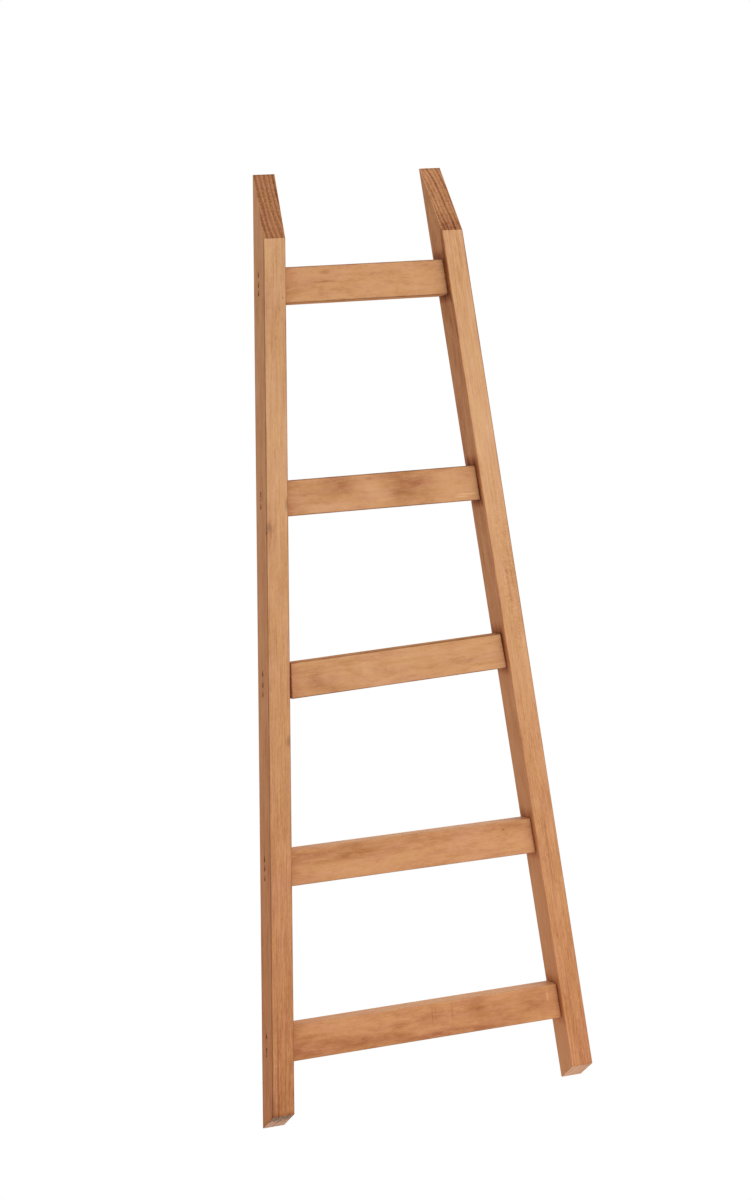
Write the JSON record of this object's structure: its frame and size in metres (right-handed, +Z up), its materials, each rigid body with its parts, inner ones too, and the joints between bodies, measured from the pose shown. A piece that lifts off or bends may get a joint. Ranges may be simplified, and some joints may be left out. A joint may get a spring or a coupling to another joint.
{
  "type": "blanket ladder",
  "caption": "Leaning wooden blanket ladder: flat rungs nailed between stiles that taper towards the top, sawn to stand flat on a floor and rest flat against a wall.",
  "frame": {"origin": "on the floor, midway between the stiles and midway between the wall and the room side of the feet", "axes": "+Z up, +X across the ladder to the right as seen from the wall side, wall towards -Y, room towards +Y; the ladder leans back to the wall by 27.5 degrees"},
  "size_m": [0.5866, 0.7399, 1.4186],
  "materials": {
    "stile_wood": "honey stained pine with straight grain, satin",
    "rung_wood": "honey stained pine with blotchy flat-sawn grain, satin",
    "nail_steel": "dull dark steel"
  },
  "bodies": {
    "root": {"left_stile": "stile_wood", "right_stile": "stile_wood", "bottom_rung": "rung_wood", "lower_rung": "rung_wood", "middle_rung": "rung_wood", "upper_rung": "rung_wood", "top_rung": "rung_wood", "bottom_rung_left_nails": "nail_steel", "bottom_rung_right_nails": "nail_steel", "lower_rung_left_nails": "nail_steel", "lower_rung_right_nails": "nail_steel", "middle_rung_left_nails": "nail_steel", "middle_rung_right_nails": "nail_steel", "upper_rung_left_nails": "nail_steel", "upper_rung_right_nails": "nail_steel", "top_rung_left_nails": "nail_steel", "top_rung_right_nails": "nail_steel"}
  },
  "joints": []
}
